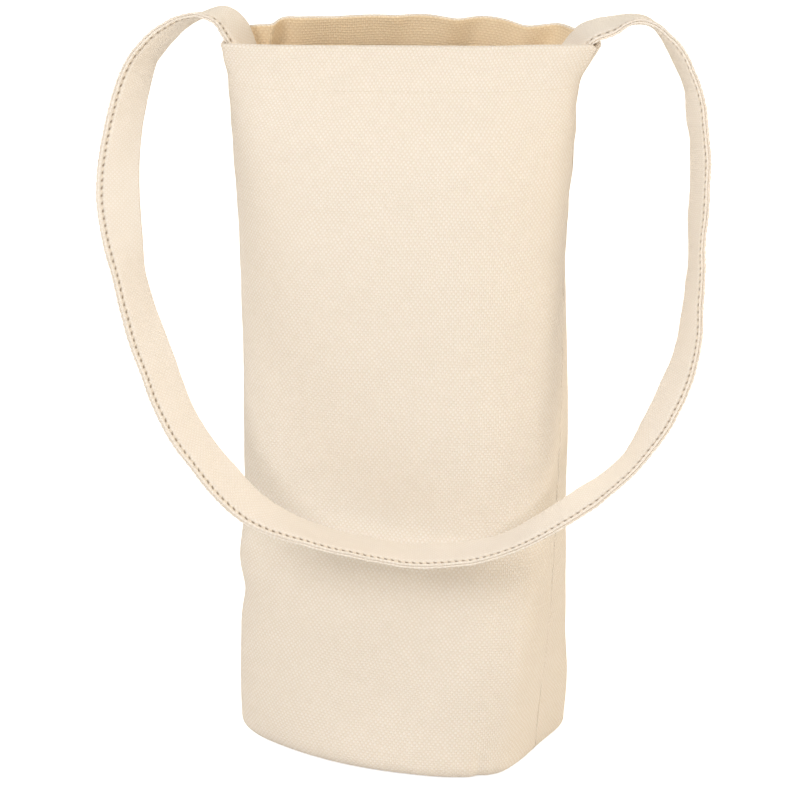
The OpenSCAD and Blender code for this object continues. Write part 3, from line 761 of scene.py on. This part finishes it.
def thread_piece(name, node, parts, body="bag", blend=None):
    """One piece from several rows of stitches."""
    points, faces, uvs, start = [], [], [], 0
    for p, f, uv in parts:
        points.append(p)
        uvs.append(uv)
        faces += [[i + start for i in face] for face in f]
        start += len(p)
    piece = make_piece(name, np.concatenate(points), faces, np.concatenate(uvs), THREAD)
    if blend:
        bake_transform(piece)
    else:
        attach(piece, body)
    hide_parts(node)


def row_of_stitches(line, ups, gap=0.45, **shape):
    """Stitches one after another along a line of points."""
    line, ups = np.asarray(line), np.asarray(ups)
    far = np.r_[0, np.cumsum(np.linalg.norm(np.diff(line, axis=0), axis=1))]
    count = max(1, int(far[-1] / PITCH))
    step = far[-1] / count
    begin = np.arange(count) * step + gap / 2
    finish = begin + step - gap

    def at(s, values):
        return np.column_stack([np.interp(s, far, values[:, k]) for k in range(3)])

    return stitch_mesh(at(begin, line), at(finish, line), at((begin + finish) / 2, ups), **shape)


def strap_stitches(first, last):
    """Both faces of one length of the strap, with its stitches between the holes of its cloth."""
    points, _, wide, out, far = LINE
    begin = math.ceil(far[first] / PITCH) * PITCH
    holes = np.arange(begin, far[last] - PITCH, PITCH)
    clear = 0.55
    parts = []
    for face in (-1, 1):
        surface = np.array([[face * OUTER + face * HALF_CLOTH]])
        ends = []
        for s in (holes + clear, holes + PITCH - clear):
            a, o = strap_shape(np.array([[EDGE_STITCH_LINE]]), surface, s)
            shares = ((points, 1), (wide, a[:, 0]), (out, o[:, 0]))
            ends.append(np.column_stack([sum(np.interp(s, far, v[:, k]) * m for v, m in shares)
                                         for k in range(3)]))
        ups = np.column_stack([np.interp(holes + PITCH / 2, far, out[:, k]) for k in range(3)]) * face
        parts.append(stitch_mesh(ends[0], ends[1], ups, radius=0.26, lift=0.26))
    return parts


thread_piece("strap_loop_stitches", "strap_stitching", strap_stitches(LEFT_JOIN, RIGHT_JOIN), "strap")
thread_piece("strap_left_stitches", "left_end_stitching", strap_stitches(6, LEFT_JOIN), blend=LEFT_BLEND)
thread_piece("strap_right_stitches", "right_end_stitching", strap_stitches(RIGHT_JOIN, END - 6),
             blend=RIGHT_BLEND)


def tack(index, upwards, face):
    """The box of stitches that holds one sewn end."""
    p, run, wide, out = (v[index] for v in LINE[:4])
    level = face * (2 * PLY - 0.05)
    corners = [p + wide * a + run * upwards * b + out * level
               for a, b in ((-5, 3), (5, 3), (5, 15), (-5, 15), (-5, 3))]
    dense = [corners[k] + (corners[k + 1] - corners[k]) * f
             for k in range(4) for f in np.linspace(0, 1, 8)]
    return [row_of_stitches(dense, [out * face] * len(dense))]


thread_piece("left_tack_stitches", "left_tack_stitching", tack(0, 1, 1))
thread_piece("right_tack_stitches", "right_tack_stitching", tack(END, -1, 1))


def hem_rows():
    """The hem's stitches, which show outside and, between the two side margins, inside."""
    parts = []
    for side in (FRONT, BACK):
        for depth, sign, margin, lift in ((0.0, 1, 0.01, -0.06), (HEM_DEPTH, -1, 0.16, 0.15)):
            u = np.linspace(margin, 1 - margin, 200)
            p, out = wall(side, HEM_STITCH_Z, u, depth)
            parts.append(row_of_stitches(p[0], out[0] * sign, lift=lift, radius=0.2, sink=0.3))
    return parts


thread_piece("hem_stitches", "hem_stitching", hem_rows())


def side_seam_parts(left, near, far_out=None):
    """Rows of stitches on both outer sides of a seam's margins; with far_out, overlock across them."""
    z = np.linspace(12, MARGIN_TOP - 4, 170)
    parts = []
    for side in (FRONT, BACK):
        end = 0 if left == (side == FRONT) else 1
        columns, middle = (flaps(side, z, offset)[end] for offset in (CANVAS_T + FLAP_GAP / 2, 0.0))
        if end == 1:
            columns, middle = columns[:, ::-1], middle[:, ::-1]
        ups = unit(columns[:, 2] - middle[:, 2])

        def at(distance):
            k = (ALLOWANCE - distance) / FLAP_STEP
            i = min(int(k), 3)
            return columns[:, i] * (1 - k + i) + columns[:, i + 1] * (k - i)

        if far_out is None:
            parts.append(row_of_stitches(at(near), ups))
        else:
            a, b = at(near), at(far_out)
            pick = np.arange(0, len(z) - 1, 2)
            parts.append(stitch_mesh(a[pick], b[pick], ups[pick], radius=0.22, lift=0.25, sink=0.1))
            parts.append(stitch_mesh(b[pick], a[pick + 1], ups[pick], radius=0.22, lift=0.22, sink=0.1))
            parts.append(row_of_stitches(b, ups, radius=0.22, lift=0.3, gap=0.1, sink=0.0))
    return parts


thread_piece("left_seam_stitches", "left_side_seam_thread", side_seam_parts(True, SEAM_IN))
thread_piece("right_seam_stitches", "right_side_seam_thread", side_seam_parts(False, SEAM_IN))
thread_piece("left_overlock", "left_overlock_thread", side_seam_parts(True, *OVERLOCK))
thread_piece("right_overlock", "right_overlock_thread", side_seam_parts(False, *OVERLOCK))


def base_parts(height, top=None):
    """Rows of stitches on both sides of the base seam's margins; with top, overlock up to it."""
    parts = []
    for way, side in ((-1, FRONT), (1, BACK)):
        own = turned(0, way, BASE_YAW)
        x = np.linspace(-0.92, 0.92, 70) * (BASE_W / 2 - FOLD_R) * BASE_SEAM_PART
        place = turned(x, 0 * x, BASE_YAW) + BASE_MIDDLE + own * (CANVAS_T + FLAP_GAP / 2)
        up = np.tile(np.r_[own, 0], (len(x), 1))
        low = np.column_stack([place, np.full(len(x), height)])
        if top is None:
            parts.append(row_of_stitches(low, up))
        else:
            high = np.column_stack([place, np.full(len(x), top)])
            parts.append(stitch_mesh(low[:-1:2], high[:-1:2], up[:-1:2], radius=0.22, sink=0.1))
            parts.append(stitch_mesh(high[:-1:2], low[1::2], up[:-1:2], radius=0.22, sink=0.1))
    return parts


thread_piece("base_seam_stitches", "base_seam_thread", base_parts(SEAM_IN))
thread_piece("base_overlock", "base_overlock_thread", base_parts(*OVERLOCK))


def corner_parts(way):
    """The stitches of the seam across one boxed corner, on both sides of the side seam."""
    x = way * (BASE_W / 2 - FOLD_R - 1)
    count = 20
    parts = []
    for half in (-1, 1):
        y = np.linspace(half * 3, half * 22, count)
        place = turned(np.full(count, float(x)), y, BASE_YAW) + BASE_MIDDLE
        line = np.column_stack([place, np.full(count, CANVAS_T)])
        parts.append(row_of_stitches(line, [[0, 0, 1]] * count))
    return parts


thread_piece("left_corner_stitches", "left_corner_seam_thread", corner_parts(-1))
thread_piece("right_corner_stitches", "right_corner_seam_thread", corner_parts(1))


# ---- Lights, floor and world ----
# name, place in metres, power in watts, colour
LAMPS = (
    ("key", (-1.1, -1.5, 1.5), 17.4, (1, 1, 1)),
    ("left_fill", (-1.9, -0.3, 0.8), 7, (1, 1, 1)),
    ("right_front", (1.3, -1.5, 1.0), 12.4, (1, 1, 1)),
    ("top", (-0.1, -0.8, 1.9), 6, (1, 1, 1)),
    ("right_fill", (1.9, -0.2, 0.7), 8, (1, 0.81, 0.55)),
    ("back_light", (0.3, 1.7, 1.2), 15, (1, 0.97, 0.85)),
)
LAMP_SIZE = 0.9
LAMPS_AIM = Vector((0, 0, 0.17))
# How much paler the floor is where the camera, a gloss or a clear surface sees it
FLOOR_LIFT = 0.76


def join(tree, kind, *inputs):
    """A new node of one kind, with its first inputs linked to these outputs."""
    node = tree.nodes.new(kind)
    for output, socket in zip(inputs, node.inputs):
        tree.links.new(output, socket)
    return node


def seen(tree):
    """1 for what the camera, a gloss or a clear surface sees, and 0 for the light that it gives."""
    path = tree.nodes.new("ShaderNodeLightPath").outputs
    found = path["Is Camera Ray"]
    for ray in ("Is Glossy Ray", "Is Transmission Ray"):
        node = join(tree, "ShaderNodeMath", found, path[ray])
        node.operation = "MAXIMUM"
        found = node.outputs[0]
    return found


def make_floor():
    n = Nodes("pale_floor")
    n.tree.nodes.remove(n.shader)
    diffuse = n.tree.nodes.new("ShaderNodeBsdfDiffuse")
    diffuse.inputs["Color"].default_value = (0.86, 0.86, 0.86, 1)
    lift = n.tree.nodes.new("ShaderNodeEmission")
    n.link(n.mul(seen(n.tree), FLOOR_LIFT), lift.inputs["Strength"])
    both = join(n.tree, "ShaderNodeAddShader", diffuse.outputs[0], lift.outputs[0])
    n.link(both.outputs[0], n.output.inputs[0])
    mesh = bpy.data.meshes.new("floor")
    r = 6.0
    mesh.from_pydata([(-r, -r, 0), (r, -r, 0), (r, r, 0), (-r, r, 0)], [], [(0, 1, 2, 3)])
    mesh.materials.append(n.material)
    floor = bpy.data.objects.new("floor", mesh)
    floor.location.z = -0.0004
    bpy.context.scene.collection.objects.link(floor)


def make_world():
    world = bpy.data.worlds.new("studio")
    bpy.context.scene.world = world
    world.use_nodes = True
    tree = world.node_tree
    tree.nodes.clear()

    def background(colour, strength):
        node = tree.nodes.new("ShaderNodeBackground")
        node.inputs["Color"].default_value = colour
        node.inputs["Strength"].default_value = strength
        return node.outputs[0]

    light, white = background((1, 0.83, 0.58, 1), 0.24), background((1, 1, 1, 1), 1.0)
    mix = join(tree, "ShaderNodeMixShader", seen(tree), light, white)
    join(tree, "ShaderNodeOutputWorld", mix.outputs[0])


def make_lamps():
    for name, place, power, colour in LAMPS:
        data = bpy.data.lights.new(name, "AREA")
        data.shape = "DISK"
        data.size = LAMP_SIZE
        data.energy = power
        data.color = colour
        lamp = bpy.data.objects.new(name, data)
        lamp.location = place
        lamp.rotation_euler = (LAMPS_AIM - Vector(place)).to_track_quat("-Z", "Y").to_euler()
        bpy.context.scene.collection.objects.link(lamp)


bpy.context.scene.view_settings.view_transform = "Standard"
make_floor()
make_world()
make_lamps()
